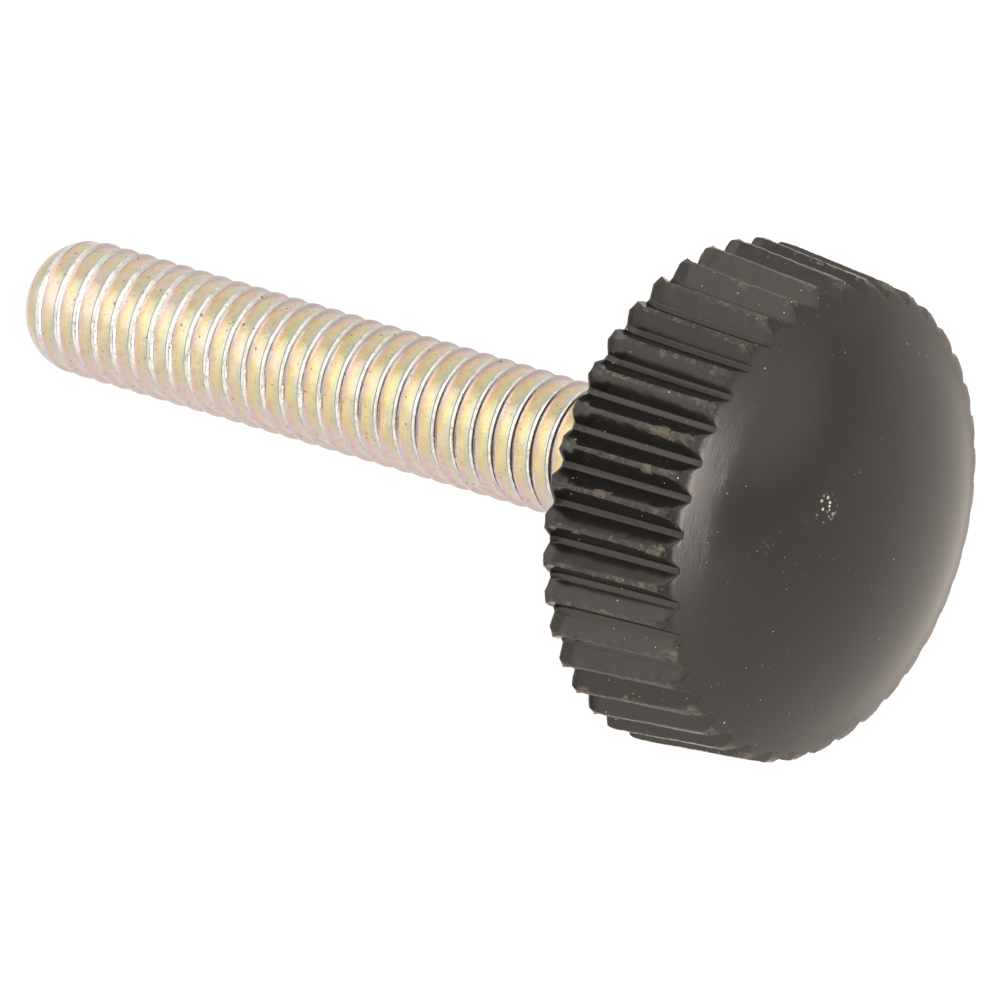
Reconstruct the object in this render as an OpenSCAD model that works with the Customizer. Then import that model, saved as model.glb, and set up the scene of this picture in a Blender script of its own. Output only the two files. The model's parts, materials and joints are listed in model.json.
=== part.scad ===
// Knurled knob: a black moulded thumb knob with a straight, tapered knurl and a domed face,
// on a threaded steel stud whose hexagon head is buried in the moulding.
// It lies as it comes to rest, on the knob's back edge and the tip of the stud.

/* [Knob] */
// Diameter over the teeth at the widest place, next to the back face
knob_back_d = 14.5; // [13:0.1:18]
// Diameter over the teeth where the knurl meets the dome
knob_front_d = 13.7; // [12:0.1:14.4]
// Width of the knurled band, from the back face to the dome's edge
band_w = 4.1; // [3.4:0.1:8]
// Height of the dome above the band
dome_h = 2.0; // [1.2:0.1:2.4]
// Chamfer round the back edge
back_chamfer = 0.1; // [0.05:0.05:0.4]

/* [Knurl] */
// Number of teeth round the knob
tooth_count = 40; // [24:1:48]
// Depth of a groove below the teeth
groove_depth = 0.45; // [0.2:0.01:0.5]
// Width of the flat at the bottom of a groove
groove_floor_w = 0.15; // [0.05:0.01:0.2]
// Angle between the two sides of a groove
groove_angle = 93; // [60:1:96]

/* [Stud] */
// Diameter over the thread crests
thread_d = 3.88; // [3.7:0.01:4.2]
// Thread pitch
thread_pitch = 0.7; // [0.5:0.05:0.8]
// Length of the stud outside the knob
stud_l = 23.9; // [12:0.1:40]
// Chamfer at the tip of the stud
tip_chamfer = 0.45; // [0.2:0.05:0.8]

/* [Stud head inside the knob] */
// Diameter of the plain neck inside the knob, over the thread's so that the back face is clear round it
neck_d = 4.6; // [4.2:0.1:5]
// Length of the neck, from the knob's back face to the head
neck_l = 1.1; // [0.8:0.1:1.6]
// Distance across the flats of the hexagon head
head_af = 7; // [5.5:0.1:8]
// Height of the hexagon head
head_h = 2.8; // [1.6:0.1:3]

/* [Hidden] */
$fn = 96;

// Proportions of a standard metric thread, as shares of its pitch
thread_depth = 0.6134 * thread_pitch;
crest_w = thread_pitch / 8;
flank_angle = 30;
flank_w = thread_depth * tan(flank_angle);

// Knob blank: the band tapers from the widest place to the dome's edge
back_r = knob_back_d / 2;
front_r = knob_front_d / 2;
knob_h = band_w + dome_h;
taper_angle = atan((back_r - front_r) / (band_w - back_chamfer));
blank_top_r = front_r - dome_h * tan(taper_angle);
dome_r = (front_r * front_r + dome_h * dome_h) / (2 * dome_h);

// Groove cutter: it runs past both ends of the knob and past the teeth
cut_over = 1;
cut_h = groove_depth + cut_over;
cut_l = knob_h + 2 * cut_over;
side_run = tan(groove_angle / 2);
tooth_step = 360 / tooth_count;

// Stud: number of thread turns that fit between the tip's chamfer and the knob
crest_r = thread_d / 2;
root_r = crest_r - thread_depth;
turn_count = floor((stud_l - tip_chamfer - crest_w) / thread_pitch);

// Buried end: the neck is always wider than the thread, and the head's radius is to its corners
neck_over = 0.25;
neck_r = max(neck_d / 2, crest_r + neck_over);
head_corner_r = head_af / (2 * cos(30));

// Rest: a groove faces the floor, so the knob stands on the inner edges of the two teeth beside it.
// The reach is how far those edges lie below the axis, where the groove's side meets the widest circle,
// or where it meets the next groove's side if the teeth are so close that they come to a point.
side_slope = side_run * cos(taper_angle);
side_start = groove_floor_w / 2 - (back_r - groove_depth) * side_slope;
square_term = 1 + side_slope * side_slope;
flat_tooth_reach = (-side_start * side_slope
    + sqrt(back_r * back_r * square_term - side_start * side_start)) / square_term;
sharp_tooth_reach = -side_start / (side_slope - tan(tooth_step / 2));
rim_reach = min(flat_tooth_reach, sharp_tooth_reach);
rest_tilt = atan((rim_reach - crest_r) / (stud_l + back_chamfer - tip_chamfer));

// The knob's dome reaches furthest along the floor where its normal is level, or at its edge
dome_centre = stud_l + knob_h - dome_r;
edge_tilt = asin(front_r / dome_r);
far_along = rest_tilt <= edge_tilt
    ? dome_centre * cos(rest_tilt) + dome_r
    : (stud_l + band_w) * cos(rest_tilt) + front_r * sin(rest_tilt);
near_along = -(crest_r - tip_chamfer) * sin(rest_tilt);
axis_rise = crest_r * cos(rest_tilt) - tip_chamfer * sin(rest_tilt);

// Lay the part down: the stud's tip at -X, the knob at +X, its lowest points on the floor
module at_rest() {
    translate([-(far_along + near_along) / 2, 0, axis_rise])
        rotate([0, -rest_tilt, 0])
            rotate([0, 90, 0])
                children();
}

// One groove, its floor along the tapered band, facing +X before the part is laid down
module groove() {
    translate([back_r - groove_depth, 0, back_chamfer])
        rotate([0, -taper_angle, 0])
            translate([0, 0, -cut_over])
                linear_extrude(height = cut_l)
                    polygon([
                        [0, -groove_floor_w / 2],
                        [cut_h, -groove_floor_w / 2 - cut_h * side_run],
                        [cut_h, groove_floor_w / 2 + cut_h * side_run],
                        [0, groove_floor_w / 2]
                    ]);
}

// Tapered band with a dome that is part of a ball
module knob_blank() {
    intersection() {
        rotate_extrude()
            polygon([
                [0, 0],
                [back_r - back_chamfer, 0],
                [back_r, back_chamfer],
                [blank_top_r, knob_h],
                [0, knob_h]
            ]);
        translate([0, 0, knob_h - dome_r])
            sphere(r = dome_r);
    }
}

// Neck and hexagon head, the same for the stud and for the cavity that holds it
module buried_end() {
    cylinder(h = neck_l, r = neck_r);
    translate([0, 0, neck_l])
        rotate([0, 0, 30])
            cylinder(h = head_h, r = head_corner_r, $fn = 6);
}

// Turned outline of the stud outside the knob: chamfered tip, then a crest and a root for every turn
function stud_outline() = concat(
    [[0, 0], [crest_r - tip_chamfer, 0]],
    [for (turn = [0 : turn_count - 1])
        let (start = tip_chamfer + turn * thread_pitch)
        each [
            [crest_r, start],
            [crest_r, start + crest_w],
            [root_r, start + crest_w + flank_w],
            [root_r, start + thread_pitch - flank_w]
        ]],
    [[crest_r, tip_chamfer + turn_count * thread_pitch], [crest_r, stud_l], [0, stud_l]]
);

module knob() {
    color([0.13, 0.125, 0.12])
        at_rest()
            translate([0, 0, stud_l])
                difference() {
                    knob_blank();
                    for (tooth = [0 : tooth_count - 1])
                        rotate([0, 0, tooth * tooth_step])
                            groove();
                    buried_end();
                }
}

module threaded_stud() {
    color([0.8, 0.77, 0.68])
        at_rest()
            union() {
                rotate_extrude()
                    polygon(stud_outline());
                translate([0, 0, stud_l])
                    buried_end();
            }
}

knob();
threaded_stud();
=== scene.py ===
"""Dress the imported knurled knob: modelled pieces, finishes, studio light and the photograph's camera.

The pieces are modelled in millimetres with the stud's axis up Z and its tip at the origin,
then scaled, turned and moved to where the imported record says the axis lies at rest.
"""

from __future__ import annotations

import json
import logging
import math
from collections.abc import Callable
from dataclasses import dataclass
from enum import Enum

import bpy
from mathutils import Matrix, Vector, noise

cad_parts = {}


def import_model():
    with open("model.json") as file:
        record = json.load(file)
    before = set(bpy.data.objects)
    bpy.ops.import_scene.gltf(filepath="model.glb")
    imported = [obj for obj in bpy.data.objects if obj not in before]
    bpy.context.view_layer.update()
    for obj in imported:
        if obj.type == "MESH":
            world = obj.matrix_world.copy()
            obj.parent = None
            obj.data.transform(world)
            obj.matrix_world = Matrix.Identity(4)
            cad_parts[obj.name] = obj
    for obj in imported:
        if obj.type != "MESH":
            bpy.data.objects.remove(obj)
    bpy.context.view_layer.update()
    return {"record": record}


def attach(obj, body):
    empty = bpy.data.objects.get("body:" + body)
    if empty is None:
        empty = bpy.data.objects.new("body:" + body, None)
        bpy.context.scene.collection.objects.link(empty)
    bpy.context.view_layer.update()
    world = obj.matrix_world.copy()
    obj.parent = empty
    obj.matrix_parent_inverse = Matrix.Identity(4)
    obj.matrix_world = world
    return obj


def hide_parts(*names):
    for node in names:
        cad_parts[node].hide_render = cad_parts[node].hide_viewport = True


log = logging.getLogger("knurled_knob")

MM = 0.001
FULL_TURN = 2.0 * math.pi
Piece = bpy.types.Object
Socket = bpy.types.NodeSocket


class Slot(Enum):
    """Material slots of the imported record."""

    PLASTIC = "black_plastic"
    STEEL = "zinc_plated_steel"


@dataclass(frozen=True)
class RestAxis:
    """The stud's axis as the part lies at rest, from the tip up to the knob.

    Attributes:
        tip: Where the axis leaves the stud's tip, in metres.
        lean: Angle of the axis above the floor, in radians.
    """

    tip: Vector
    lean: float

    @classmethod
    def from_record(cls, record: dict, stud_length: float) -> "RestAxis":
        """Read the axis from the thread's mount, which ends at the knob's back face.

        Args:
            record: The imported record.
            stud_length: Length of the stud outside the knob, in millimetres.

        Returns:
            The axis at rest.
        """
        thread = next(mount for mount in record["mounts"] if mount["name"] == "stud_thread")
        along = -Vector(thread["axis"]).normalized()
        from_tip = stud_length - thread["dims"]["length_mm"] / 2.0
        tip = Vector(thread["pos_m"]) - along * from_tip * MM
        return cls(tip, math.atan2(along.z, along.x))

    @property
    def turn(self) -> tuple[float, float, float]:
        """Euler angles that turn the modelling axis onto the axis at rest."""
        return (0.0, math.pi / 2.0 - self.lean, 0.0)

    def lay_down(self, piece: Piece) -> None:
        """Bring a piece modelled in millimetres to its place, and leave its object at the origin.

        Args:
            piece: The piece, modelled with the stud's axis up Z.
        """
        Bench.pick(piece)
        piece.scale = (MM, MM, MM)
        piece.rotation_euler = self.turn
        piece.location = self.tip
        bpy.ops.object.transform_apply(location=True, rotation=True, scale=True)


class Bench:
    """Small wrappers round the modelling operators."""

    @staticmethod
    def clear() -> None:
        """Leave edit mode and deselect everything."""
        if bpy.context.object is not None and bpy.context.object.mode != "OBJECT":
            bpy.ops.object.mode_set(mode="OBJECT")
        bpy.ops.object.select_all(action="DESELECT")

    @staticmethod
    def pick(piece: Piece) -> None:
        """Select one piece alone and make it active."""
        Bench.clear()
        piece.select_set(True)
        bpy.context.view_layer.objects.active = piece

    @staticmethod
    def edit(piece: Piece, mode: str = "VERT") -> None:
        """Open a piece in edit mode with nothing selected.

        Args:
            piece: The piece to edit.
            mode: What is selected: VERT, EDGE or FACE.
        """
        Bench.pick(piece)
        bpy.ops.object.mode_set(mode="EDIT")
        bpy.ops.mesh.select_mode(type=mode)
        bpy.ops.mesh.select_all(action="DESELECT")

    @staticmethod
    def modify(piece: Piece, kind: str, **settings) -> None:
        """Add a modifier, set it up and apply it.

        Args:
            piece: The piece to change.
            kind: The modifier's type.
            settings: Values for the modifier's own properties.
        """
        Bench.pick(piece)
        modifier = piece.modifiers.new(kind.title(), kind)
        for name, value in settings.items():
            setattr(modifier, name, value)
        bpy.ops.object.modifier_apply(modifier=modifier.name)

    @staticmethod
    def weld(piece: Piece, reach: float) -> None:
        """Merge doubled vertices and turn all faces outwards.

        Args:
            piece: The piece to close.
            reach: Vertices nearer than this become one.
        """
        Bench.edit(piece)
        bpy.ops.mesh.select_all(action="SELECT")
        bpy.ops.mesh.remove_doubles(threshold=reach)
        bpy.ops.mesh.normals_make_consistent(inside=False)
        Bench.clear()

    @staticmethod
    def smooth(piece: Piece, degrees: float) -> None:
        """Shade a piece smooth, with sharp edges over an angle."""
        Bench.pick(piece)
        bpy.ops.object.shade_smooth_by_angle(angle=math.radians(degrees))

    @staticmethod
    def grid(name: str, columns: int, rows: int) -> Piece:
        """Add a flat grid primitive that is then shaped vertex by vertex.

        Args:
            name: Name of the new object.
            columns: Vertices along X.
            rows: Vertices along Y.

        Returns:
            The new object, with vertex row * columns + column at its place in the grid.
        """
        Bench.clear()
        bpy.ops.mesh.primitive_grid_add(x_subdivisions=columns - 1, y_subdivisions=rows - 1, size=2.0)
        piece = bpy.context.object
        piece.name = name
        piece.data.name = name
        return piece


def hexagon_radius(turn: float, across_flats: float) -> float:
    """Distance from the middle of a hexagon to its outline.

    Args:
        turn: Direction in radians; a flat faces zero.
        across_flats: Distance across the flats.

    Returns:
        The distance in the same unit.
    """
    sixth = FULL_TURN / 6.0
    inside = (turn + sixth / 2.0) % sixth - sixth / 2.0
    return across_flats / 2.0 / math.cos(inside)


@dataclass
class Knob:
    """The black moulded knob: flat back, tapered straight knurl and domed face.

    Sizes are in millimetres.
    """

    start: float = 23.9
    back_radius: float = 7.25
    front_radius: float = 6.89
    band_width: float = 4.1
    widest_at: float = 0.1
    dome_height: float = 2.0
    tooth_count: int = 40
    groove_depth: float = 0.48
    front_depth: float = 0.385
    groove_runout: float = 0.17
    runout_length: float = 0.40
    groove_floor: float = 0.17
    groove_angle: float = 86.0
    neck_radius: float = 2.3
    neck_length: float = 1.1
    head_flats: float = 7.0
    head_height: float = 2.8
    back_round: float = 0.09
    crest_round: float = 0.012
    floor_round: float = 0.02
    dome_round: float = 0.03
    shoulder_round: float = 0.24
    crest_wear: float = 0.035
    worn_depth: float = 0.06
    back_wear_length: float = 0.7
    edge_wear: float = 0.06
    settle_steps: int = 12
    band_rows: int = 34
    first_row: float = 0.03
    row_span: float = 0.94
    row_crowding: float = 1.25
    shoulder_rings: tuple[float, ...] = (0.06, 0.13, 0.22, 0.34, 0.5, 0.75, 1.0)
    dome_rings: int = 18
    calm_radius: float = 5.9
    neck_margin: float = 0.4
    rim_margin: float = 0.3
    weld_reach: float = 0.0004
    sharp_over: float = 38.0

    def __post_init__(self) -> None:
        """Work out the taper and the ball that the dome is part of."""
        self.taper = (self.back_radius - self.front_radius) / (self.band_width - self.widest_at)
        self.dome_radius = (self.front_radius**2 + self.dome_height**2) / (2.0 * self.dome_height)
        self.dome_centre = self.band_width + self.dome_height - self.dome_radius
        self.half_step = math.pi / self.tooth_count
        self.side_run = math.tan(math.radians(self.groove_angle / 2.0))

    def tip_radius(self, height: float) -> float:
        """Radius over the teeth at a height above the back face."""
        return self.back_radius - self.taper * (height - self.widest_at)

    def dome_at(self, radius: float) -> float:
        """Height of the dome at a distance from the axis."""
        return self.dome_centre + math.sqrt(self.dome_radius**2 - radius**2)

    def groove_root(self, height: float) -> float:
        """Radius of the groove's floor, which gets shallower to the front and runs out at the back."""
        near_back = max(0.0, 1.0 - height / self.runout_length)
        toward_front = (self.groove_depth - self.front_depth) * (height / self.band_width) ** 2
        root = self.tip_radius(height) - self.groove_depth
        return root + toward_front + self.groove_runout * near_back**2

    def groove_side(self, share: float, height: float) -> Vector:
        """Point on a groove's side.

        Args:
            share: Zero at the groove's floor, one at the tooth's corner.
            height: Height above the back face.

        Returns:
            The point, with the groove's middle along X.
        """
        root = self.groove_root(height)
        half_floor = self.groove_floor / 2.0
        square = 1.0 + self.side_run**2
        linear = root + half_floor * self.side_run
        constant = root**2 + half_floor**2 - self.tip_radius(height) ** 2
        lift = share * (math.sqrt(linear**2 - square * constant) - linear) / square
        return Vector((root + lift, half_floor + lift * self.side_run, height))

    def section(self) -> list[tuple[str, float]]:
        """Columns across half a tooth pitch, from the groove's middle to the crest's middle."""
        sides = [("side", share) for share in (0.0, 0.1, 0.5, 0.9, 1.0)]
        return [("floor", 0.0), *sides, ("crest", 0.0)]

    def band_point(self, column: tuple[str, float], height: float) -> Vector:
        """Point of the toothed band on one column of the section at a height."""
        kind, share = column
        if kind == "floor":
            return Vector((self.groove_root(height), 0.0, height))
        if kind == "side":
            return self.groove_side(share, height)
        reach = self.tip_radius(height)
        return Vector((reach * math.cos(self.half_step), reach * math.sin(self.half_step), height))

    def band_end(self, column: tuple[str, float]) -> float:
        """Height at which a column of the section runs out into the dome."""
        height = self.band_width
        for _ in range(self.settle_steps):
            point = self.band_point(column, height)
            height = self.dome_at(math.hypot(point.x, point.y))
        return height

    def outline_points(self, column: tuple[str, float]) -> list[tuple[Vector, str]]:
        """All points of one column, from the cavity over the back and the band to the dome's middle.

        Args:
            column: A column of the section.

        Returns:
            Points with the name of the rounding that their row takes, or an empty name.
        """
        foot = self.band_point(column, 0.0)
        end = self.band_end(column)
        turn = math.atan2(foot.y, foot.x)

        def ring(radius: float, height: float, angle: float) -> Vector:
            return Vector((radius * math.cos(angle), radius * math.sin(angle), height))

        head = hexagon_radius(turn, self.head_flats)
        head_top = self.neck_length + self.head_height
        foot_radius = math.hypot(foot.x, foot.y)
        points = [
            (Vector((0.0, 0.0, head_top)), ""),
            (ring(head, head_top, turn), ""),
            (ring(head, self.neck_length, turn), ""),
            (ring(self.neck_radius, self.neck_length, turn), ""),
            (ring(self.neck_radius, 0.0, turn), ""),
            (ring(self.neck_radius + self.neck_margin, 0.0, turn), ""),
            (ring(self.calm_radius, 0.0, turn), ""),
            (ring(foot_radius - self.rim_margin, 0.0, turn), ""),
            (foot, "back"),
        ]
        for row in range(self.band_rows + 1):
            share = self.first_row + self.row_span * (row / self.band_rows) ** self.row_crowding
            points.append((self.band_point(column, end * share), ""))
        edge = self.band_point(column, end)
        points.append((edge, "dome"))
        edge_radius = math.hypot(edge.x, edge.y)
        edge_turn = math.atan2(edge.y, edge.x)
        for share in self.shoulder_rings:
            radius = edge_radius + (self.calm_radius - edge_radius) * share
            points.append((ring(radius, self.dome_at(radius), edge_turn), ""))
        for index in range(1, self.dome_rings + 1):
            radius = self.calm_radius * (1.0 - index / self.dome_rings)
            points.append((ring(radius, self.dome_at(radius), edge_turn), ""))
        return points

    def tooth_sector(self) -> Piece:
        """Shape one tooth pitch out of a grid, with the weight of each edge's rounding.

        Returns:
            The open strip of one groove between two crest middles.
        """
        half = self.section()
        columns = [(column, -1.0) for column in reversed(half[1:])] + [(column, 1.0) for column in half]
        tracks = [self.outline_points(column) for column, _ in columns]
        width = len(columns)
        height = len(tracks[0])
        piece = Bench.grid("knob_moulding", width, height)
        mesh = piece.data
        if len(mesh.vertices) != width * height:
            raise RuntimeError("the grid has another size than the tooth's section")
        for vertex in mesh.vertices:
            row, place = divmod(vertex.index, width)
            point = tracks[place][row][0].copy()
            point.y *= columns[place][1]
            vertex.co = point + Vector((0.0, 0.0, self.start))
        weights = mesh.attributes.new("bevel_weight_edge", "FLOAT", "EDGE")
        widths = {"back": self.back_round, "dome": self.dome_round}
        names = [name for _, name in tracks[0]]
        band = range(names.index("back"), names.index("dome") + 1)
        for edge in mesh.edges:
            row_a, place_a = divmod(edge.vertices[0], width)
            row_b, place_b = divmod(edge.vertices[1], width)
            value = 0.0
            if row_a == row_b:
                value = widths.get(names[row_a], 0.0)
            elif place_a == place_b and row_a in band and row_b in band:
                kind, share = columns[place_a][0]
                if kind == "side" and share == 1.0:
                    value = self.crest_round
                elif kind == "side" and share == 0.0:
                    value = self.floor_round
            weights.data[edge.index].value = value / self.back_round
        return piece

    @staticmethod
    def pull_in(vertex: bpy.types.MeshVertex, amount: float, radius: float) -> None:
        """Move a vertex at a radius toward the axis by an amount."""
        vertex.co.x *= 1.0 - amount / radius
        vertex.co.y *= 1.0 - amount / radius

    def round_shoulder(self, piece: Piece) -> None:
        """Round the corner between the teeth's tips and the dome, as if turned before the grooves.

        Args:
            piece: The closed knob, still in millimetres.
        """
        size = self.shoulder_round
        inner = self.front_radius - 2.0
        lower = self.band_width - 1.0
        for vertex in piece.data.vertices:
            radius = math.hypot(vertex.co.x, vertex.co.y)
            height = vertex.co.z - self.start
            if radius < inner or height < lower:
                continue
            under_tip = size - (self.tip_radius(height) - radius)
            under_dome = size - (self.dome_at(radius) - height)
            away = math.hypot(under_tip, under_dome)
            if under_tip <= 0.0 or under_dome <= 0.0 or away <= size:
                continue
            pull = 1.0 - size / away
            vertex.co.z -= under_dome * pull
            self.pull_in(vertex, under_tip * pull, radius)

    def wear_crests(self, piece: Piece) -> None:
        """Pull the crests in by a little, unevenly, as moulded and handled teeth are.

        Args:
            piece: The closed knob, still in millimetres.
        """
        slack = 0.01
        chip_shift = Vector((1.0, 5.0, 9.0))
        fine_shift = Vector((7.0, 3.0, 1.0))
        for vertex in piece.data.vertices:
            radius = math.hypot(vertex.co.x, vertex.co.y)
            height = vertex.co.z - self.start
            if radius > self.calm_radius + 0.5 and abs(height) < slack:
                vertex.co.z += self.edge_wear * max(0.0, noise.noise(vertex.co * 4.0))
                chip = max(0.0, 0.3 + noise.noise(vertex.co * 3.0 + chip_shift))
                self.pull_in(vertex, self.edge_wear * chip, radius)
            if radius < self.front_radius - 2.0 * slack or height > self.band_width + slack:
                continue
            if self.tip_radius(height) - radius > self.worn_depth:
                continue
            coarse = noise.noise(vertex.co * 1.7)
            fine = noise.noise(vertex.co * 6.0 + fine_shift)
            at_back = max(0.0, 1.0 - height / self.back_wear_length)
            amount = max(0.0, 0.2 + 0.5 * at_back + 0.5 * coarse + 0.7 * fine)
            self.pull_in(vertex, self.crest_wear * amount, radius)

    def build(self, axis: RestAxis) -> Piece:
        """Model the knob and lay it down.

        Args:
            axis: The stud's axis at rest.

        Returns:
            The finished piece.
        """
        piece = self.tooth_sector()
        Bench.edit(piece)
        bpy.ops.mesh.select_all(action="SELECT")
        copies = self.tooth_count - 1
        bpy.ops.mesh.spin(
            steps=copies,
            dupli=True,
            angle=FULL_TURN * copies / self.tooth_count,
            center=(0.0, 0.0, 0.0),
            axis=(0.0, 0.0, 1.0),
        )
        Bench.weld(piece, self.weld_reach)
        self.round_shoulder(piece)
        self.wear_crests(piece)
        Bench.modify(
            piece,
            "BEVEL",
            limit_method="WEIGHT",
            width=self.back_round,
            segments=3,
            profile=0.5,
            use_clamp_overlap=False,
        )
        Bench.smooth(piece, self.sharp_over)
        axis.lay_down(piece)
        return piece


@dataclass
class Stud:
    """The zinc-plated stud: a rolled right-hand thread, a neck and a hexagon head.

    Sizes are in millimetres.
    """

    length: float = 23.9
    crest_radius: float = 1.94
    pitch: float = 0.7
    flank_tilt: float = 57.0
    trough_tilt: float = 8.0
    crest_round: float = 0.10
    fillet_round: float = 0.10
    tip_chamfer: float = 0.45
    lead_length: float = 1.6
    lead_power: float = 3.2
    neck_radius: float = 2.3
    neck_length: float = 1.1
    head_flats: float = 7.0
    head_height: float = 2.8
    crest_steps: int = 5
    fillet_steps: int = 5
    trough_steps: int = 4
    turn_steps: int = 80
    crest_place: float = 10.535
    crest_turn: float = math.radians(230.2)
    weld_reach: float = 0.0005
    cut_reach: float = 0.0001
    sharp_over: float = 45.0

    def section_points(self) -> list[tuple[float, float]]:
        """Section of one pitch between two crests' middles: round crests, fillets and a flat trough.

        Returns:
            Places along the stud and depths below the crest.
        """
        steep = math.radians(self.flank_tilt)
        calm = math.radians(self.trough_tilt)
        crest_end = self.crest_round * math.sin(steep)
        fillet_end = crest_end + self.fillet_round * (math.sin(steep) - math.sin(calm))
        trough_radius = (self.pitch / 2.0 - fillet_end) / math.sin(calm)
        rise = []
        for step in range(self.crest_steps):
            tilt = steep * step / self.crest_steps
            rise.append((self.crest_round * math.sin(tilt), self.crest_round * (1.0 - math.cos(tilt))))
        edge = self.crest_round * (1.0 - math.cos(steep))
        for step in range(self.fillet_steps):
            tilt = steep + (calm - steep) * step / self.fillet_steps
            place = crest_end + self.fillet_round * (math.sin(steep) - math.sin(tilt))
            rise.append((place, edge + self.fillet_round * (math.cos(tilt) - math.cos(steep))))
        edge += self.fillet_round * (math.cos(calm) - math.cos(steep))
        for step in range(self.trough_steps + 1):
            tilt = calm * (1.0 - step / self.trough_steps)
            place = self.pitch / 2.0 - trough_radius * math.sin(tilt)
            rise.append((place, edge + trough_radius * (math.cos(tilt) - math.cos(calm))))
        return rise + [(self.pitch - place, depth) for place, depth in reversed(rise[:-1])]

    def thread_profile(self) -> Piece:
        """Make the open chain of one pitch that is screwed round the axis.

        Returns:
            A chain of edges from one crest's middle to the next.
        """
        points = self.section_points()
        piece = Bench.grid("stud_thread", 2, len(points))
        Bench.edit(piece)
        bpy.ops.object.mode_set(mode="OBJECT")
        for vertex in piece.data.vertices:
            vertex.select = vertex.index % 2 == 1
        bpy.ops.object.mode_set(mode="EDIT")
        bpy.ops.mesh.delete(type="VERT")
        bpy.ops.object.mode_set(mode="OBJECT")
        for vertex, (place, depth) in zip(piece.data.vertices, points):
            vertex.co = (self.crest_radius - depth, 0.0, place)
        return piece

    def sweep(self, piece: Piece) -> None:
        """Screw the profile round the axis, and bring a crest to where the photograph has it.

        Args:
            piece: The chain of one pitch.
        """
        turns = math.ceil(self.length / self.pitch) + 3
        Bench.modify(
            piece,
            "SCREW",
            axis="Z",
            angle=FULL_TURN,
            screw_offset=self.pitch,
            iterations=turns,
            steps=self.turn_steps,
            render_steps=self.turn_steps,
            use_merge_vertices=False,
        )
        Bench.weld(piece, self.weld_reach)
        whole = self.crest_place - self.crest_turn / FULL_TURN * self.pitch
        start = whole % self.pitch - 2.0 * self.pitch
        piece.location = (0.0, 0.0, start)
        Bench.pick(piece)
        bpy.ops.object.transform_apply(location=True, rotation=True, scale=True)

    def chamfer_tip(self, piece: Piece) -> None:
        """Round the tip's lead by pulling in what stands out of its curve.

        Args:
            piece: The swept thread.
        """
        end_radius = self.crest_radius - self.tip_chamfer
        for vertex in piece.data.vertices:
            if vertex.co.z > self.lead_length:
                continue
            left = 1.0 - max(vertex.co.z, 0.0) / self.lead_length
            allowed = end_radius + self.tip_chamfer * (1.0 - left**self.lead_power)
            radius = math.hypot(vertex.co.x, vertex.co.y)
            if radius > allowed:
                vertex.co.x *= allowed / radius
                vertex.co.y *= allowed / radius

    def trim(self, piece: Piece) -> None:
        """Cut the swept thread to length, and close its tip."""
        Bench.edit(piece)
        bpy.ops.mesh.select_all(action="SELECT")
        bpy.ops.mesh.bisect(
            plane_co=(0.0, 0.0, 0.0),
            plane_no=(0.0, 0.0, 1.0),
            use_fill=True,
            clear_inner=True,
            threshold=self.cut_reach,
        )
        bpy.ops.mesh.select_all(action="SELECT")
        bpy.ops.mesh.bisect(
            plane_co=(0.0, 0.0, self.length),
            plane_no=(0.0, 0.0, 1.0),
            clear_outer=True,
            threshold=self.cut_reach,
        )
        Bench.clear()

    @staticmethod
    def move_selected(piece: Piece, place: Callable[[float], tuple[float, float]]) -> None:
        """Move the selected vertices to where a rule puts them.

        Args:
            piece: The piece, in edit mode.
            place: A function from a vertex's turn to its new radius and height.
        """
        bpy.ops.object.mode_set(mode="OBJECT")
        for vertex in piece.data.vertices:
            if vertex.select:
                turn = math.atan2(vertex.co.y, vertex.co.x)
                radius, height = place(turn)
                vertex.co = (radius * math.cos(turn), radius * math.sin(turn), height)
        bpy.ops.object.mode_set(mode="EDIT")

    def add_buried_end(self, piece: Piece) -> None:
        """Extrude the neck and the hexagon head from the thread's end."""
        Bench.edit(piece, "EDGE")
        bpy.ops.mesh.select_non_manifold(
            extend=False,
            use_wire=False,
            use_boundary=True,
            use_multi_face=False,
            use_non_contiguous=False,
        )
        neck_top = self.length + self.neck_length
        head_top = neck_top + self.head_height
        steps = [
            lambda turn: (self.neck_radius, self.length),
            lambda turn: (self.neck_radius, neck_top),
            lambda turn: (hexagon_radius(turn, self.head_flats), neck_top),
            lambda turn: (hexagon_radius(turn, self.head_flats), head_top),
        ]
        for step in steps:
            bpy.ops.mesh.extrude_region()
            self.move_selected(piece, step)
        bpy.ops.mesh.edge_face_add()
        Bench.clear()

    def build(self, axis: RestAxis) -> Piece:
        """Model the stud and lay it down.

        Args:
            axis: The stud's axis at rest.

        Returns:
            The finished piece.
        """
        piece = self.thread_profile()
        self.sweep(piece)
        self.chamfer_tip(piece)
        self.trim(piece)
        self.add_buried_end(piece)
        Bench.weld(piece, self.weld_reach)
        Bench.smooth(piece, self.sharp_over)
        axis.lay_down(piece)
        return piece


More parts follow.
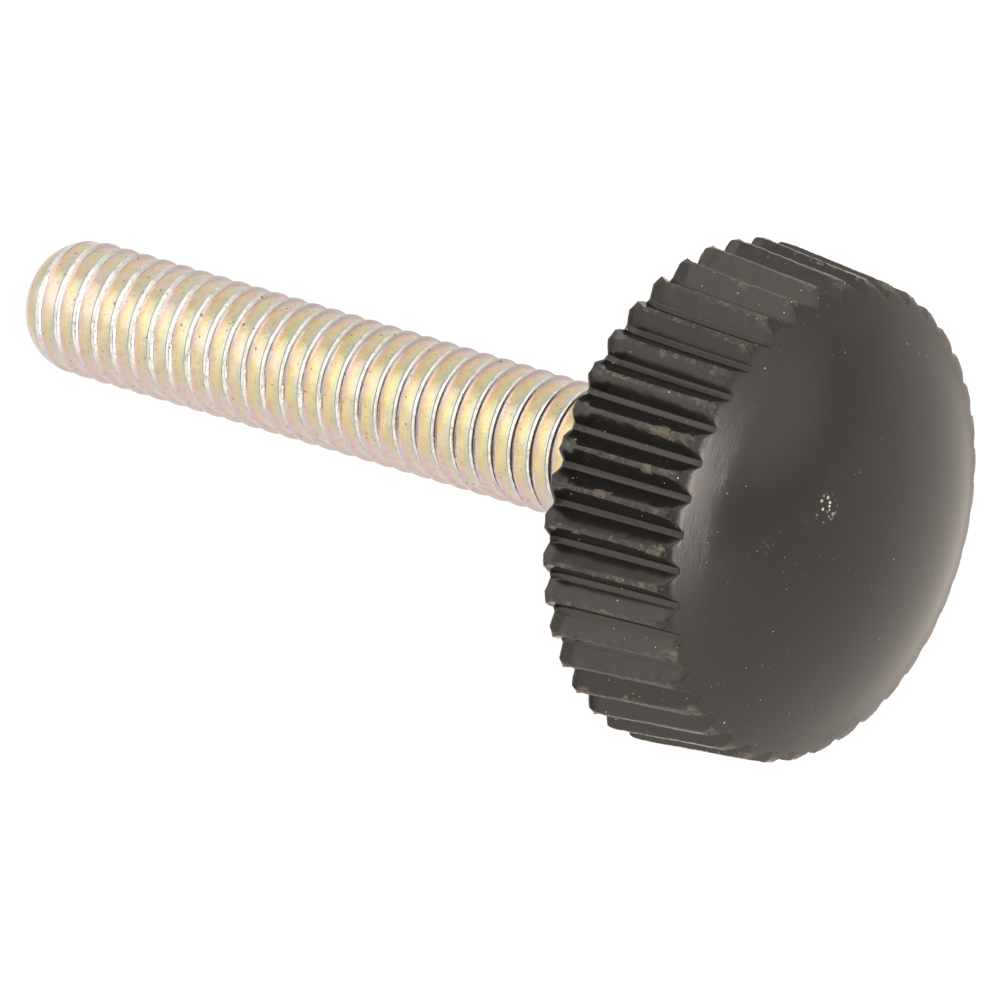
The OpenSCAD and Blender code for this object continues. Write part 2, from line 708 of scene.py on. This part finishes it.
class Sheet:
    """One node tree that shader nodes are added to and joined in."""

    row_length = 12
    step_across = 180.0
    step_down = 260.0

    def __init__(self, tree: bpy.types.NodeTree) -> None:
        """Keep the tree and start the row of nodes."""
        self.tree = tree
        self.count = 0

    def add(self, kind: str, **settings) -> bpy.types.Node:
        """Add a node and set its properties.

        Args:
            kind: The node's type.
            settings: Values for the node's own properties.

        Returns:
            The new node.
        """
        node = self.tree.nodes.new(kind)
        down, across = divmod(self.count, self.row_length)
        node.location = (self.step_across * across, -self.step_down * down)
        self.count += 1
        for name, value in settings.items():
            setattr(node, name, value)
        return node

    def feed(self, target: Socket, value) -> None:
        """Join a socket to another, or set its value."""
        if isinstance(value, Socket):
            self.tree.links.new(value, target)
        else:
            target.default_value = value

    def fill(self, node: bpy.types.Node, **values) -> bpy.types.Node:
        """Feed a node's inputs by name, and return the node."""
        for name, value in values.items():
            self.feed(node.inputs[name], value)
        return node

    def math(self, operation: str, *values, clamp: bool = False) -> Socket:
        """Add a Math node.

        Args:
            operation: The node's operation.
            values: Sockets or numbers.
            clamp: Whether the result stays between zero and one.

        Returns:
            The result's socket.
        """
        node = self.add("ShaderNodeMath", operation=operation, use_clamp=clamp)
        for socket, value in zip(node.inputs, values):
            self.feed(socket, value)
        return node.outputs[0]

    def times(self, *values) -> Socket:
        """Multiply sockets and numbers, one after another."""
        product = values[0]
        for value in values[1:]:
            product = self.math("MULTIPLY", product, value)
        return product

    def most(self, *values) -> Socket:
        """Take the largest of several sockets."""
        largest = values[0]
        for value in values[1:]:
            largest = self.math("MAXIMUM", largest, value)
        return largest

    def less(self, value, taken) -> Socket:
        """Subtract a socket or number from another."""
        return self.math("SUBTRACT", value, taken)

    def scaled(self, value: Socket, gain: float, base) -> Socket:
        """Scale a value and add a base, which is a socket or a number."""
        return self.math("MULTIPLY_ADD", value, gain, base)

    def span(self, value: Socket, low: float, high: float) -> Socket:
        """Map a value smoothly to zero at low and one at high, held at both ends."""
        node = self.add("ShaderNodeMapRange", interpolation_type="SMOOTHSTEP")
        self.feed(node.inputs["Value"], value)
        node.inputs["From Min"].default_value = low
        node.inputs["From Max"].default_value = high
        return node.outputs["Result"]

    def measure(self, operation: str, vector: Socket, fixed) -> Socket:
        """Measure a vector against a fixed one.

        Args:
            operation: The Vector Math node's operation.
            vector: Socket of the vector.
            fixed: The vector that it is measured against.

        Returns:
            The measure's socket.
        """
        node = self.add("ShaderNodeVectorMath", operation=operation)
        self.feed(node.inputs[0], vector)
        node.inputs[1].default_value = fixed
        return node.outputs["Value"]

    def mix(self, factor: Socket, first, second, blend: str = "MIX") -> Socket:
        """Mix two colours.

        Args:
            factor: Share of the second colour.
            first: Socket or colour.
            second: Socket or colour.
            blend: The node's blend type.

        Returns:
            The mixed colour's socket.
        """
        node = self.add("ShaderNodeMix", data_type="RGBA", blend_type=blend)
        self.feed(node.inputs["Factor"], factor)
        for name, value in (("A", first), ("B", second)):
            socket = next(item for item in node.inputs if item.name == name and item.type == "RGBA")
            self.feed(socket, value)
        return next(item for item in node.outputs if item.type == "RGBA")

    def group(self, tree: bpy.types.NodeTree, **values) -> bpy.types.Node:
        """Place a node group and feed its inputs by name."""
        return self.fill(self.add("ShaderNodeGroup", node_tree=tree), **values)

    def noise(self, vector: Socket, scale, detail: float = 3.0, rough: float = 0.55) -> Socket:
        """Add a noise texture and return its value."""
        node = self.add("ShaderNodeTexNoise")
        self.fill(node, Vector=vector, Scale=scale, Detail=detail, Roughness=rough)
        return node.outputs[0]


def colour(red: float, green: float, blue: float) -> tuple[float, float, float, float]:
    """Opaque linear colour."""
    return (red, green, blue, 1.0)


class Effects:
    """Shader node groups that the finishes share, each built once."""

    vector = "NodeSocketVector"
    number = "NodeSocketFloat"
    mask = [("Mask", "NodeSocketFloat")]

    def __init__(self, axis: RestAxis) -> None:
        """Build the groups.

        Args:
            axis: The stud's axis at rest, which the patterns follow.
        """
        self.place = self.make_place(axis)
        self.specks = self.make_specks()
        self.patches = self.make_patches()

    def start(
        self, name: str, numbers: list[str], outputs: list[tuple[str, str]]
    ) -> tuple[Sheet, bpy.types.NodeOutputs, bpy.types.NodeInputs]:
        """Make an empty group that takes a vector and some numbers.

        Args:
            name: Name of the group.
            numbers: Names of the inputs after the vector.
            outputs: Names and socket types of the outputs.

        Returns:
            The sheet, the input node's outputs and the output node's inputs.
        """
        tree = bpy.data.node_groups.new(name, "ShaderNodeTree")
        tree.interface.new_socket(name="Vector", in_out="INPUT", socket_type=self.vector)
        for label in numbers:
            tree.interface.new_socket(name=label, in_out="INPUT", socket_type=self.number)
        for label, kind in outputs:
            tree.interface.new_socket(name=label, in_out="OUTPUT", socket_type=kind)
        sheet = Sheet(tree)
        return sheet, sheet.add("NodeGroupInput").outputs, sheet.add("NodeGroupOutput").inputs

    def make_place(self, axis: RestAxis) -> bpy.types.NodeTree:
        """Group that turns object coordinates into millimetres along and round the stud's axis."""
        measures = [(label, self.number) for label in ("Along", "Radius", "Turn")]
        sheet, given, result = self.start("Axis Place", [], [("Local", self.vector), *measures])
        mapping = sheet.add("ShaderNodeMapping", vector_type="TEXTURE")
        scale = (MM, MM, MM)
        sheet.fill(mapping, Vector=given["Vector"], Location=axis.tip, Rotation=axis.turn, Scale=scale)
        split = sheet.add("ShaderNodeSeparateXYZ")
        sheet.feed(split.inputs[0], mapping.outputs[0])
        across, up, along = split.outputs
        squares = sheet.math("ADD", sheet.times(across, across), sheet.times(up, up))
        sheet.feed(result["Local"], mapping.outputs[0])
        sheet.feed(result["Along"], along)
        sheet.feed(result["Radius"], sheet.math("SQRT", squares))
        sheet.feed(result["Turn"], sheet.math("ARCTAN2", up, across))
        return sheet.tree

    def make_specks(self) -> bpy.types.NodeTree:
        """Group that scatters round specks of different sizes."""
        smallest = 0.35
        full_inside = 0.55
        sheet, given, result = self.start("Specks", ["Scale", "Size", "Amount"], self.mask)
        cells = sheet.add("ShaderNodeTexVoronoi", voronoi_dimensions="3D", feature="F1")
        sheet.fill(cells, Vector=given["Vector"], Scale=given["Scale"])
        split = sheet.add("ShaderNodeSeparateColor")
        sheet.feed(split.inputs[0], cells.outputs["Color"])
        chosen = sheet.math("LESS_THAN", split.outputs[0], given["Amount"])
        reach = sheet.times(given["Size"], sheet.math("ADD", smallest, split.outputs[1]))
        near = sheet.math("DIVIDE", cells.outputs["Distance"], reach)
        sheet.feed(result["Mask"], sheet.times(sheet.span(near, 1.0, full_inside), chosen))
        return sheet.tree

    def make_patches(self) -> bpy.types.NodeTree:
        """Group that covers a share of the surface with uneven patches."""
        sheet, given, result = self.start("Patches", ["Scale", "Cover", "Soft"], self.mask)
        cloud = sheet.noise(given["Vector"], given["Scale"], detail=5.0, rough=0.6)
        over = sheet.less(cloud, sheet.less(1.0, given["Cover"]))
        sheet.feed(result["Mask"], sheet.math("DIVIDE", over, given["Soft"], clamp=True))
        return sheet.tree


class Surface(Sheet):
    """A material in the making, with the place along and round the stud's axis as sockets."""

    def __init__(self, name: str, effects: Effects) -> None:
        """Start the material.

        Args:
            name: Name of the material.
            effects: The shared node groups.
        """
        self.material = bpy.data.materials.new(name)
        self.material.use_nodes = True
        super().__init__(self.material.node_tree)
        self.effects = effects
        self.shader = self.tree.nodes["Principled BSDF"]
        coordinates = self.add("ShaderNodeTexCoord")
        place = self.group(effects.place, Vector=coordinates.outputs["Object"])
        self.local, self.along, self.radius, self.turn = place.outputs

    def patches(self, scale: float, cover: float, soft: float) -> Socket:
        """Mask of uneven patches that cover a share of the surface, with soft edges."""
        tree = self.effects.patches
        return self.group(tree, Vector=self.local, Scale=scale, Cover=cover, Soft=soft).outputs["Mask"]

    def specks(self, scale: float, size: float, amount) -> Socket:
        """Mask of round specks, of which an amount between zero and one is kept."""
        tree = self.effects.specks
        return self.group(tree, Vector=self.local, Scale=scale, Size=size, Amount=amount).outputs["Mask"]

    def grained(self, grain: Socket, middle: float, swing: float) -> Socket:
        """Let a value swing about its middle with the grain."""
        return self.scaled(grain, swing, middle - swing / 2.0)

    def join_shader(
        self, base: Socket, rough: Socket, height: Socket, strength: float, distance: float
    ) -> bpy.types.Material:
        """Join the colour, the roughness and the relief to the shader.

        Args:
            base: Socket of the colour.
            rough: Socket of the roughness.
            height: Socket of the relief.
            strength: Strength of the relief.
            distance: Height of the relief, in metres.

        Returns:
            The material.
        """
        bump = self.add("ShaderNodeBump")
        self.fill(bump, Strength=strength, Distance=distance, Height=height)
        self.feed(self.shader.inputs["Base Color"], base)
        self.feed(self.shader.inputs["Roughness"], rough)
        self.feed(self.shader.inputs["Normal"], bump.outputs["Normal"])
        return self.material


@dataclass(frozen=True)
class PlasticFinish:
    """Satin black moulded plastic with dusty crests, scuffs and stray specks.

    Depths below the crests, heights, radii and places are in millimetres.
    """

    black: tuple = colour(0.0052, 0.0051, 0.0049)
    scuffed: tuple = colour(0.030, 0.029, 0.028)
    dust: tuple = colour(0.118, 0.109, 0.078)
    dark_dust: tuple = colour(0.060, 0.055, 0.040)
    speck: tuple = colour(0.46, 0.44, 0.41)
    rough: float = 0.17
    rough_swing: float = 0.06
    scuff_rough: float = 0.12
    rub_rough: float = 0.13
    dust_rough: float = 0.75
    fray: float = 0.16
    line_depths: tuple[float, float] = (0.026, 0.004)
    flake_depths: tuple[float, float] = (0.13, 0.08)
    heap_depths: tuple[float, float] = (0.03, 0.0)
    heap_length: float = 0.75
    heap_gain: float = 0.16
    rim_heights: tuple[float, float] = (0.11, 0.03)
    rim_radii: tuple[float, float] = (6.5, 6.6)
    band_specks: float = 0.55
    dome_specks: float = 0.04
    streak_stretch: tuple[float, float, float] = (5.0, 9.0, 9.0)
    chalk_mark: tuple[float, float, float] = (-1.86, -1.57, 29.77)
    chalk_reach: tuple[float, float] = (0.50, 0.15)
    rub_mark: tuple[float, float, float] = (-1.71, -3.70, 29.34)
    rub_reach: tuple[float, float] = (0.32, 0.10)

    def crest_line_and_dust(self, on: Surface, knob: Knob) -> Socket:
        """Mask of the dust that lies along the teeth's crests and gathers where they end at the dome.

        Args:
            on: The material in the making.
            knob: The knob whose teeth the dust follows.

        Returns:
            The mask's socket, which also holds a faint light line along every crest.
        """
        height = on.less(on.along, knob.start)
        tip = on.scaled(on.less(height, knob.widest_at), -knob.taper, knob.back_radius)
        frayed = on.grained(on.noise(on.local, 7.0), 0.0, self.fray)
        uneven = on.math("ADD", on.less(tip, on.radius), frayed)
        deposit = on.patches(scale=1.2, cover=0.52, soft=0.12)
        breaks = on.patches(scale=4.5, cover=0.50, soft=0.08)
        rich = on.times(breaks, on.scaled(deposit, 0.6, 0.15))
        # A faint light line runs along every crest, heavier where the dust lies in patches.
        thin = on.times(on.span(uneven, *self.line_depths), on.math("ADD", 0.10, rich))
        flakes = on.patches(scale=1.1, cover=0.41, soft=0.03)
        flake = on.times(on.span(uneven, *self.flake_depths), flakes, 0.75)
        near_end = on.span(height, knob.band_width - self.heap_length, knob.band_width)
        end = on.span(on.scaled(near_end, -self.heap_gain, uneven), *self.heap_depths)
        heap = on.times(end, near_end, on.patches(scale=0.8, cover=0.50, soft=0.08), 0.8)
        on_band = on.span(height, knob.band_width + 0.22, knob.band_width + 0.02)
        off_back = on.span(height, 0.1, 0.4)
        kept = on.times(on.most(thin, flake, heap), on_band, off_back)
        rim = on.times(on.span(height, *self.rim_heights), on.span(on.radius, *self.rim_radii))
        rim_dust = on.times(rim, on.patches(scale=3.0, cover=0.55, soft=0.20), 0.5)
        return on.most(kept, rim_dust)

    def rubbed_shoulder(self, on: Surface, knob: Knob) -> Socket:
        """Mask of the dome's shoulder, which handling has dulled.

        Args:
            on: The material in the making.
            knob: The knob that is rubbed.

        Returns:
            The mask's socket.
        """
        dome_start = knob.start + knob.band_width
        shoulder = on.span(on.radius, knob.calm_radius - 0.5, knob.calm_radius + 0.3)
        return on.times(shoulder, on.span(on.along, dome_start - 0.1, dome_start))

    def streaks(self, on: Surface, rub: Socket) -> Socket:
        """Mask of fine scratches that run round the dome's shoulder.

        Args:
            on: The material in the making.
            rub: Socket of the shoulder's mask.

        Returns:
            The mask's socket.
        """
        round_about = on.add("ShaderNodeCombineXYZ")
        places = (on.turn, on.radius, on.along)
        for socket, place, stretch in zip(round_about.inputs, places, self.streak_stretch):
            on.feed(socket, on.times(place, stretch))
        lines = on.span(on.noise(round_about.outputs[0], 1.6, 5.0, 0.70), 0.46, 0.66)
        return on.times(lines, rub, on.patches(scale=0.5, cover=0.6, soft=0.15))

    def dome_marks(self, on: Surface) -> Socket:
        """Mask of a chalky cluster of specks and a faint rub on the dome.

        Args:
            on: The material in the making.

        Returns:
            The mask's socket.
        """
        near_chalk = on.span(on.measure("DISTANCE", on.local, self.chalk_mark), *self.chalk_reach)
        near_rub = on.span(on.measure("DISTANCE", on.local, self.rub_mark), *self.rub_reach)
        chalk = on.times(near_chalk, on.specks(scale=8.0, size=0.45, amount=0.75))
        rub = on.times(near_rub, on.patches(scale=8.0, cover=0.46, soft=0.15), 0.12)
        return on.most(chalk, rub)

    def make(self, effects: Effects, knob: Knob) -> bpy.types.Material:
        """Build the material.

        Args:
            effects: The shared node groups.
            knob: The knob whose crests the dust follows.

        Returns:
            The material.
        """
        on = Surface("black_moulded_plastic", effects)
        on.shader.inputs["IOR"].default_value = 1.5
        dust = self.crest_line_and_dust(on, knob)
        dome_start = knob.start + knob.band_width
        on_dome = on.span(on.along, dome_start, dome_start + 0.4)
        often = on.scaled(on_dome, self.dome_specks - self.band_specks, self.band_specks)
        specks = on.specks(scale=3.3, size=0.085, amount=often)
        fine = on.specks(scale=5.0, size=0.12, amount=0.55)
        gathered = on.times(fine, on.patches(scale=0.35, cover=0.52, soft=0.15), 0.5)
        speckle = on.most(specks, gathered, self.dome_marks(on))
        scuffs = on.patches(scale=2.0, cover=0.50, soft=0.25)
        haze = on.times(scuffs, on.patches(scale=14.0, cover=0.55, soft=0.30))
        body = on.mix(on.times(haze, 0.35), self.black, self.scuffed)
        tone = on.span(on.noise(on.local, 8.0, 4.0), 0.36, 0.62)
        dusty = on.mix(dust, body, on.mix(tone, self.dark_dust, self.dust))
        grain = on.noise(on.local, 12.0, 4.0)
        rub = self.rubbed_shoulder(on, knob)
        streak = self.streaks(on, rub)
        covered = on.most(dust, speckle)
        plain_rough = on.grained(grain, self.rough, self.rough_swing)
        scuffed = on.scaled(on.most(haze, streak), self.scuff_rough, plain_rough)
        worn = on.scaled(rub, self.rub_rough, scuffed)
        rough = on.scaled(covered, self.dust_rough - self.rough, worn)
        relief = on.scaled(streak, 0.35, on.times(grain, 0.3))
        raised = on.math("ADD", relief, covered)
        base = on.mix(speckle, dusty, self.speck)
        return on.join_shader(base, rough, raised, strength=0.25, distance=0.00002)


@dataclass(frozen=True)
class ZincFinish:
    """Bright zinc with a faint yellow and pink passivation, pitted here and there.

    Stretches along the stud are in millimetres, and widths across a crest are shares of the pitch. The
    crests carry a painted highlight, the stud near the knob and the crests' seams a painted shade, and
    the sides seen edge-on a painted lilac sheen.
    """

    # crest: lighter colour painted on the crests as their highlight
    crest: tuple = colour(0.65, 0.69, 0.69)
    silver: tuple = colour(0.43, 0.455, 0.44)
    pink: tuple = colour(0.50, 0.385, 0.335)
    gold: tuple = colour(0.505, 0.42, 0.245)
    straw: tuple = colour(0.50, 0.47, 0.265)
    green: tuple = colour(0.425, 0.455, 0.325)
    # lilac: colour of the film's random patches and of the painted sheen on the sides seen edge-on.
    lilac: tuple = colour(0.54, 0.47, 0.53)
    pale: tuple = colour(0.52, 0.50, 0.49)
    # Multiplied in for the mottled stain and for the painted shade near the knob.
    stain_and_shade: tuple = colour(0.80, 0.77, 0.72)
    # Colour of the pits, and of the painted shade in the crest's seam.
    pit_and_seam_shade: tuple = colour(0.16, 0.11, 0.07)
    rough: float = 0.25
    rough_swing: float = 0.14
    drift: float = 0.50
    # The turn about the axis of the side that faces the view; the painted sheen and highlight are placed
    # from it.
    view_side: float = math.radians(220.0)
    tip_stretch: tuple[float, float] = (11.0, 5.0)
    knob_shade_stretch: tuple[float, float] = (17.0, 23.0)
    end_face: tuple[float, float] = (0.12, 0.03)
    ridge_width: tuple[float, float] = (0.12, 0.06)
    ridge_gain: float = 0.05
    seam_shade_width: tuple[float, float] = (0.028, 0.010)

    def pitch_share(self, on: Surface, stud: Stud) -> Socket:
        """Place within a pitch of the thread, from zero at one crest to one at the next.

        Args:
            on: The material in the making.
            stud: The stud with the thread.

        Returns:
            The place's socket.
        """
        turned = on.math("DIVIDE", on.less(on.turn, stud.crest_turn), FULL_TURN)
        pitches = on.math("DIVIDE", on.less(on.along, stud.crest_place), stud.pitch)
        return on.math("FRACT", on.less(pitches, turned))

    def bands(self, on: Surface, share: Socket) -> Socket:
        """Colours of the film from one crest to the next.

        Args:
            on: The material in the making.
            share: Socket of the place within a pitch.

        Returns:
            The colour's socket.
        """
        stops = [
            (0.08, self.silver),
            (0.19, self.pink),
            (0.33, self.gold),
            (0.49, self.straw),
            (0.63, self.green),
            (0.84, self.silver),
        ]
        node = on.add("ShaderNodeValToRGB")
        uneven = on.grained(on.noise(on.local, 1.3, 4.0), 0.0, self.drift)
        on.feed(node.inputs[0], on.math("ADD", share, uneven))
        elements = node.color_ramp.elements
        while len(elements) < len(stops):
            elements.new(0.5)
        for element, (position, shade) in zip(elements, stops):
            element.position = position
            element.color = shade
        return node.outputs[0]

    def make(self, effects: Effects, stud: Stud) -> bpy.types.Material:
        """Build the material.

        Args:
            effects: The shared node groups.
            stud: The stud whose thread the colours follow.

        Returns:
            The material.
        """
        on = Surface("zinc_plate", effects)
        on.shader.inputs["Metallic"].default_value = 1.0
        share = self.pitch_share(on, stud)
        away = on.math("PINGPONG", share, 0.5)
        near_tip = on.span(on.along, *self.tip_stretch)
        knob_shade = on.span(on.along, *self.knob_shade_stretch)
        end_face = on.span(on.along, *self.end_face)
        # Painted sheen: the sides seen edge-on, roughly a right angle from the side that faces the view,
        # get a lilac tint in place of the film's colour at grazing angles, and a weaker painted crest
        # highlight.
        from_view_side = on.math("COSINE", on.less(on.turn, self.view_side))
        edge_on_sides = on.times(on.span(from_view_side, 0.82, 0.36), on.span(from_view_side, -0.70, -0.25))
        blush = on.times(on.patches(scale=1.1, cover=0.50, soft=0.25), on.scaled(near_tip, 0.4, 0.45))
        lilac_and_edge_sheen = on.most(blush, on.times(edge_on_sides, 0.55))
        film = on.mix(lilac_and_edge_sheen, self.bands(on, share), self.lilac)
        paler = on.mix(on.most(on.times(near_tip, 0.18), end_face), film, self.pale)
        mottle = on.span(on.noise(on.local, 4.5, 6.0, 0.65), 0.46, 0.72)
        # Darker with the mottled stain, and darker toward the knob as painted shade where the knob
        # shades the stud.
        stain_and_knob_shade = on.most(on.times(mottle, 0.65), on.times(knob_shade, 0.45))
        stained_and_shaded = on.mix(stain_and_knob_shade, paler, self.stain_and_shade, "MULTIPLY")
        # Painted highlight: the crests are mixed toward the crest colour, wider near the tip, broken
        # into patches and weaker on the sides seen edge-on.
        widened = on.scaled(near_tip, -self.ridge_gain, away)
        ridge = on.times(on.span(widened, *self.ridge_width), on.less(1.0, end_face))
        highlight_patches = on.scaled(on.span(on.noise(on.local, 3.5, 4.0), 0.32, 0.55), 0.45, 0.55)
        crest_highlight = on.times(ridge, highlight_patches, on.scaled(edge_on_sides, -0.90, 1.0))
        film_with_highlight = on.mix(crest_highlight, stained_and_shaded, self.crest)
        breaks = on.patches(scale=3.0, cover=0.52, soft=0.10)
        # The crest's seam is pressed in by the bump and also painted dark as its shade.
        seam_shade = on.times(on.span(away, *self.seam_shade_width), breaks, 0.6)
        pits = on.times(on.specks(scale=2.6, size=0.13, amount=0.80), 0.75)
        fine = on.times(on.specks(scale=6.0, size=0.20, amount=0.45), 0.45)
        dark = on.most(pits, fine, seam_shade)
        grain = on.noise(on.local, 8.0, 5.0)
        rough = on.grained(grain, self.rough, self.rough_swing)
        beads = on.times(ridge, on.noise(on.local, 6.0, 2.0))
        relief = on.less(on.scaled(beads, 2.6, grain), dark)
        base = on.mix(dark, film_with_highlight, self.pit_and_seam_shade)
        return on.join_shader(base, rough, relief, strength=0.35, distance=0.00003)


@dataclass(frozen=True)
class Softbox:
    """A long area light that faces the part.

    Attributes:
        name: Name of the light.
        azimuth: Direction it stands in, in degrees, as a view's azimuth.
        elevation: Height over the floor, in degrees.
        distance: Distance from the part, in metres.
        size: Width and length of its face, in metres.
        spin: Turn of the face about its own direction, in degrees.
        radiance: Brightness of its face.
        tint: Colour of its light.
    """

    name: str
    azimuth: float
    elevation: float
    distance: float
    size: tuple[float, float]
    spin: float
    radiance: float
    tint: tuple[float, float, float]

    def place(self) -> Piece:
        """Add the light, facing the origin."""
        Bench.clear()
        bpy.ops.object.light_add(type="AREA")
        lamp = bpy.context.object
        lamp.name = self.name
        lamp.data.shape = "RECTANGLE"
        lamp.data.size, lamp.data.size_y = self.size
        lamp.data.energy = self.radiance * math.pi * self.size[0] * self.size[1]
        lamp.data.color = self.tint
        toward = direction(self.azimuth, self.elevation)
        lamp.matrix_world = stand(toward * self.distance, toward, self.spin)
        return lamp


def direction(azimuth: float, elevation: float) -> Vector:
    """Unit vector from the part toward a view's azimuth and elevation in degrees."""
    turn = math.radians(azimuth)
    rise = math.radians(elevation)
    return Vector((math.sin(turn) * math.cos(rise), -math.cos(turn) * math.cos(rise), math.sin(rise)))


def stand(place: Vector, toward: Vector, spin: float) -> Matrix:
    """Place of a lamp or a camera that looks back along a direction.

    Args:
        place: Where it stands, in metres.
        toward: Direction from the part to it.
        spin: Turn about that direction, in degrees.

    Returns:
        Its matrix in the world.
    """
    turned = toward.to_track_quat("Z", "Y").to_matrix() @ Matrix.Rotation(math.radians(spin), 3, "Z")
    return Matrix.Translation(place) @ turned.to_4x4()


@dataclass(frozen=True)
class SoftSpot:
    """A soft-edged patch of the surround, bright or dark.

    Attributes:
        azimuth: Direction of its middle, in degrees, as a view's azimuth.
        elevation: Height of its middle over the floor, in degrees.
        inner: Angle from the middle within which it is at its strongest, in degrees.
        outer: Angle from the middle at which it has faded out, in degrees.
        gain: Brightness that it adds, or takes away where it is below zero.
    """

    azimuth: float
    elevation: float
    inner: float
    outer: float
    gain: float

    def shine(self, sheet: Sheet, toward: Socket) -> Socket:
        """Brightness that the spot adds in a direction.

        Args:
            sheet: The world's sheet.
            toward: Socket of the direction.

        Returns:
            The brightness's socket.
        """
        along = sheet.measure("DOT_PRODUCT", toward, direction(self.azimuth, self.elevation))
        edge = math.cos(math.radians(self.outer))
        lit = sheet.span(along, edge, math.cos(math.radians(self.inner)))
        return sheet.times(lit, self.gain)


@dataclass(frozen=True)
class Studio:
    """Pale floor, soft warm light, brightest from the front left, and the photograph's camera."""

    azimuth: float = 37.7022
    elevation: float = 39.0911
    roll: float = 1.5282
    distance: float = 0.646559
    aim: tuple[float, float, float] = (0.0024271, -0.0013196, 0.0041878)
    lens: float = 830.01
    sensor: float = 36.0
    floor_size: float = 3.0
    floor_front: float = 1.50
    floor_back: float = 0.95
    floor_shade: float = 0.35
    floor_turn: tuple[float, float] = (0.012, -0.03)
    shade_place: tuple[float, float, float] = (0.045, -0.085, 0.0)
    shade_reach: tuple[float, float] = (0.03, 0.07)
    tint: tuple = colour(1.11, 1.0, 0.90)
    front: float = 1.38
    behind: float = 0.90
    front_turn: tuple[float, float] = (0.1, -0.45)
    spots: tuple[SoftSpot, ...] = (
        SoftSpot(-65.0, 22.0, 20.0, 29.0, 0.68),
        SoftSpot(-126.0, 24.0, 10.0, 38.0, 0.28),
        SoftSpot(112.0, 28.0, 8.0, 27.0, 0.72),
        SoftSpot(-60.0, 80.0, 12.0, 36.0, 1.00),
        SoftSpot(26.0, 4.0, 12.0, 30.0, -1.00),
    )
    boxes: tuple[Softbox, ...] = (
        Softbox("right_strip", 77.5, 18.0, 0.5, (0.048, 0.34), -42.0, 28.0, (1.0, 0.90, 0.84)),
    )

    def glow(self, gain: float) -> tuple[float, float, float, float]:
        """The light's tint at a brightness."""
        return colour(*(channel * gain for channel in self.tint[:3]))

    def add_floor(self) -> None:
        """Lay a pale floor under the part, which the camera sees as white.

        Its glow on the part is brighter to the front, but for one dim patch.
        """
        Bench.clear()
        bpy.ops.mesh.primitive_plane_add(size=self.floor_size)
        floor = bpy.context.object
        floor.name = "floor"
        material = bpy.data.materials.new("pale_floor")
        material.use_nodes = True
        sheet = Sheet(material.node_tree)
        shader = material.node_tree.nodes["Principled BSDF"]
        shader.inputs["Base Color"].default_value = colour(0.05, 0.05, 0.05)
        shader.inputs["Roughness"].default_value = 1.0
        shader.inputs["Specular IOR Level"].default_value = 0.0
        split = sheet.add("ShaderNodeSeparateXYZ")
        coordinates = sheet.add("ShaderNodeTexCoord")
        sheet.feed(split.inputs[0], coordinates.outputs["Object"])
        front = sheet.span(split.outputs[1], *self.floor_turn)
        lit = sheet.mix(front, self.glow(self.floor_back), self.glow(self.floor_front))
        from_shade = sheet.measure("DISTANCE", coordinates.outputs["Object"], self.shade_place)
        clear = sheet.span(from_shade, *self.shade_reach)
        glow = sheet.mix(clear, self.glow(self.floor_shade), lit)
        seen = sheet.add("ShaderNodeLightPath").outputs["Is Camera Ray"]
        sheet.feed(shader.inputs["Emission Color"], sheet.mix(seen, glow, colour(1.0, 1.0, 1.0)))
        shader.inputs["Emission Strength"].default_value = 1.0
        floor.data.materials.append(material)

    def add_surround(self) -> None:
        """Fill the world with soft warm light, bright in front and dimmer behind, with soft spots."""
        world = bpy.data.worlds.new("soft_surround")
        world.use_nodes = True
        sheet = Sheet(world.node_tree)
        backdrop = world.node_tree.nodes["Background"]
        backdrop.inputs["Color"].default_value = self.tint
        toward = sheet.add("ShaderNodeTexCoord").outputs["Generated"]
        split = sheet.add("ShaderNodeSeparateXYZ")
        sheet.feed(split.inputs[0], toward)
        ahead = sheet.span(split.outputs[1], *self.front_turn)
        total = sheet.scaled(ahead, self.front - self.behind, self.behind)
        for spot in self.spots:
            total = sheet.math("ADD", total, spot.shine(sheet, toward))
        sheet.feed(backdrop.inputs["Strength"], total)
        bpy.context.scene.world = world

    def add_camera(self) -> None:
        """Add the camera at the photograph's angle."""
        Bench.clear()
        bpy.ops.object.camera_add()
        camera = bpy.context.object
        camera.name = "photo_camera"
        back = direction(self.azimuth, self.elevation)
        camera.matrix_world = stand(Vector(self.aim) + back * self.distance, back, self.roll)
        camera.data.lens = self.lens
        camera.data.sensor_width = self.sensor
        bpy.context.scene.camera = camera

    def build(self) -> None:
        """Set up the floor, the light and the camera."""
        self.add_floor()
        self.add_surround()
        for box in self.boxes:
            box.place()
        self.add_camera()
        view = bpy.context.scene.view_settings
        view.view_transform = "Standard"
        view.look = "None"


def dress(piece: Piece, material: bpy.types.Material, node: str) -> None:
    """Give a piece its finish and let it stand for its CAD node.

    Args:
        piece: The finished piece.
        material: Its material.
        node: The CAD node that it replaces.
    """
    piece.data.materials.clear()
    piece.data.materials.append(material)
    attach(piece, "root")
    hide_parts(node)
    mesh = piece.data
    log.info("%s: %d vertices, %d faces", piece.name, len(mesh.vertices), len(mesh.polygons))


def main() -> None:
    """Build the pieces, their finishes and the studio."""
    logging.basicConfig(level=logging.INFO, format="%(name)s: %(message)s")
    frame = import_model()
    knob = Knob()
    stud = Stud()
    axis = RestAxis.from_record(frame["record"], stud.length)
    effects = Effects(axis)
    dress(knob.build(axis), PlasticFinish().make(effects, knob), "knob")
    dress(stud.build(axis), ZincFinish().make(effects, stud), "threaded_stud")
    Studio().build()


if __name__ == "__main__":
    main()
